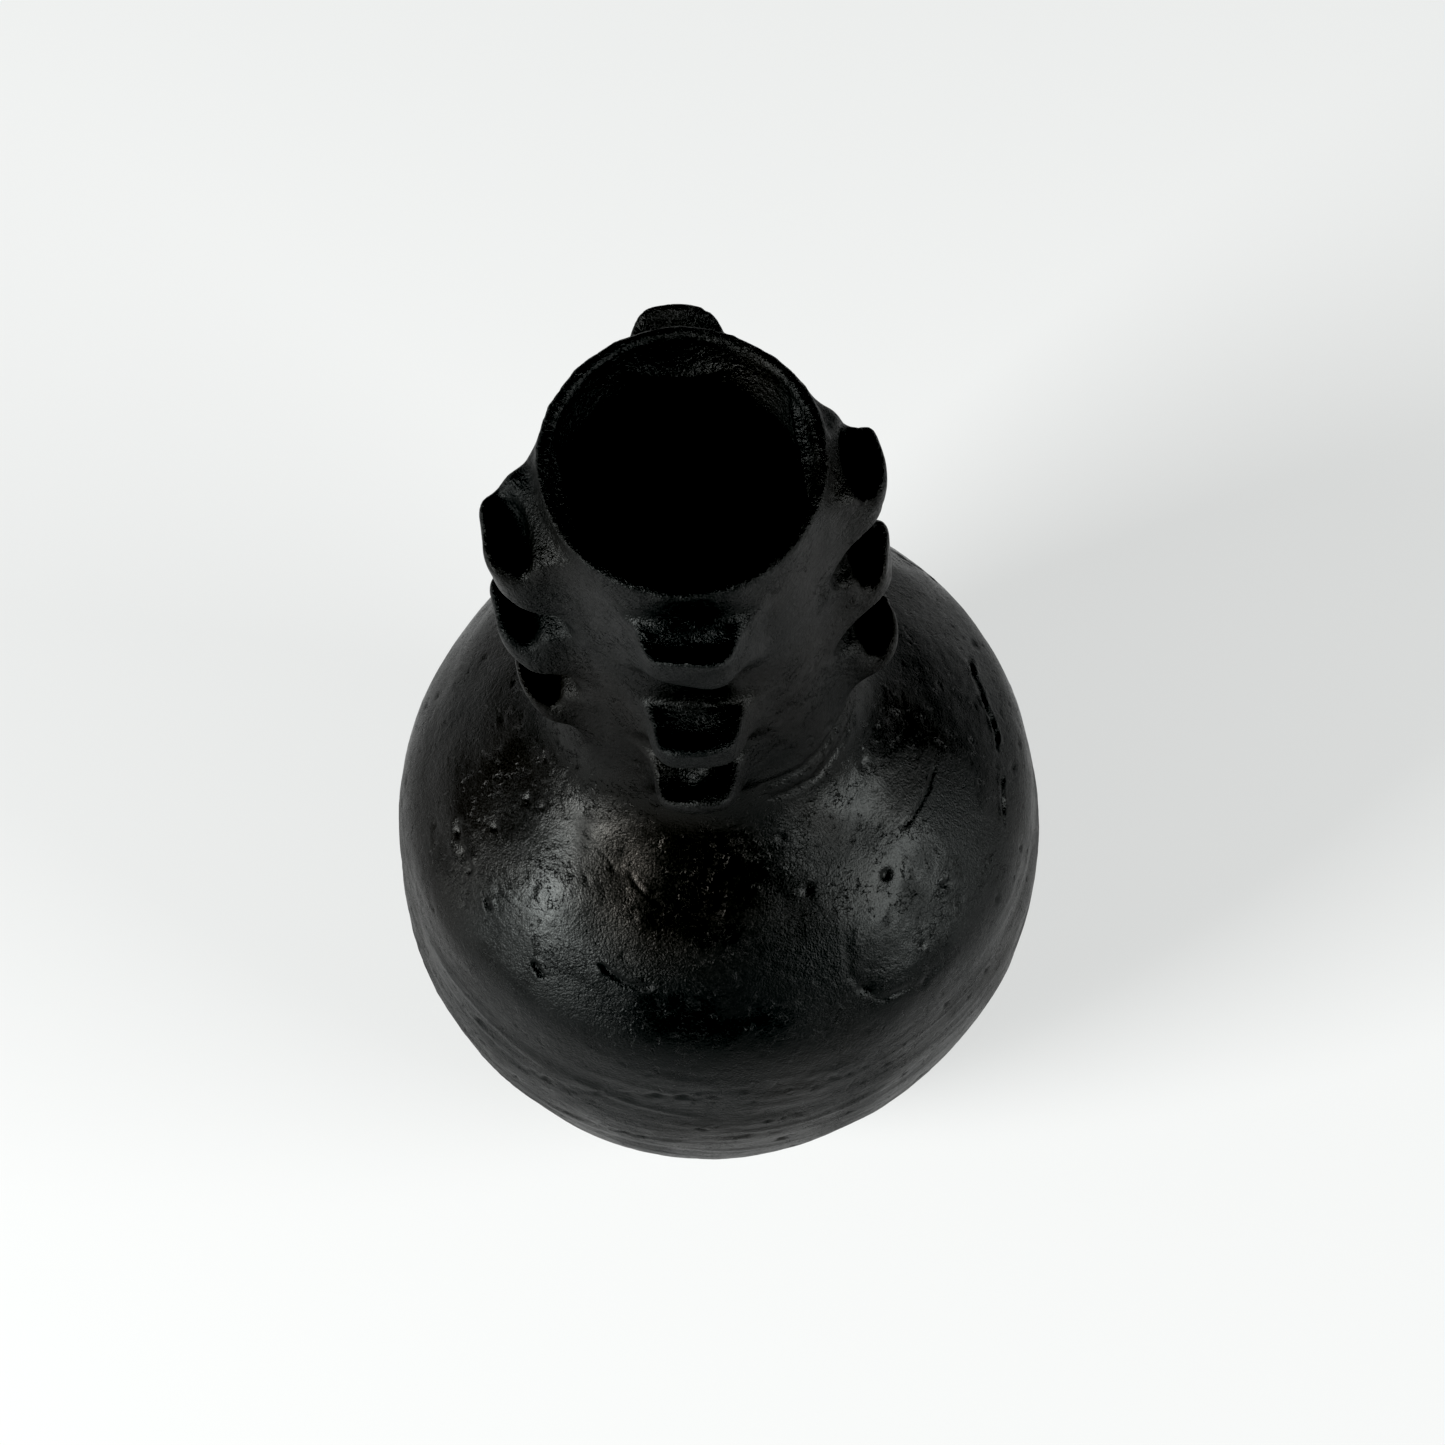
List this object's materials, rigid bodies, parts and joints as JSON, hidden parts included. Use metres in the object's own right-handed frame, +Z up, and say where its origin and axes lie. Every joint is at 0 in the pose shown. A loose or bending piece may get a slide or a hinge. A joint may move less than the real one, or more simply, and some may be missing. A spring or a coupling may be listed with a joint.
{
  "type": "clay pot",
  "caption": "Hand-built black clay bottle vase: round belly, straight open neck and crests of thumb-pressed lugs down the neck.",
  "frame": {"origin": "centre of the flat foot, on the surface that the pot stands on", "axes": "+Z up along the neck, +X towards the right-hand crest of lugs, -Y towards the front crest"},
  "size_m": [0.2164, 0.2164, 0.34],
  "materials": {
    "black_clay": "satin black, smoke-fired and lightly burnished, with scraping marks, pits and sandy grain"
  },
  "bodies": {
    "root": {"floor_disc": "black_clay", "lower_bowl": "black_clay", "belly_band": "black_clay", "shoulder_dome": "black_clay", "neck_joint_coil": "black_clay", "neck_tube": "black_clay", "rim_band": "black_clay", "lug_right_upper": "black_clay", "lug_right_middle": "black_clay", "lug_right_lower": "black_clay", "lug_back_upper": "black_clay", "lug_back_middle": "black_clay", "lug_back_lower": "black_clay", "lug_left_upper": "black_clay", "lug_left_middle": "black_clay", "lug_left_lower": "black_clay", "lug_front_upper": "black_clay", "lug_front_middle": "black_clay", "lug_front_lower": "black_clay"}
  },
  "joints": []
}
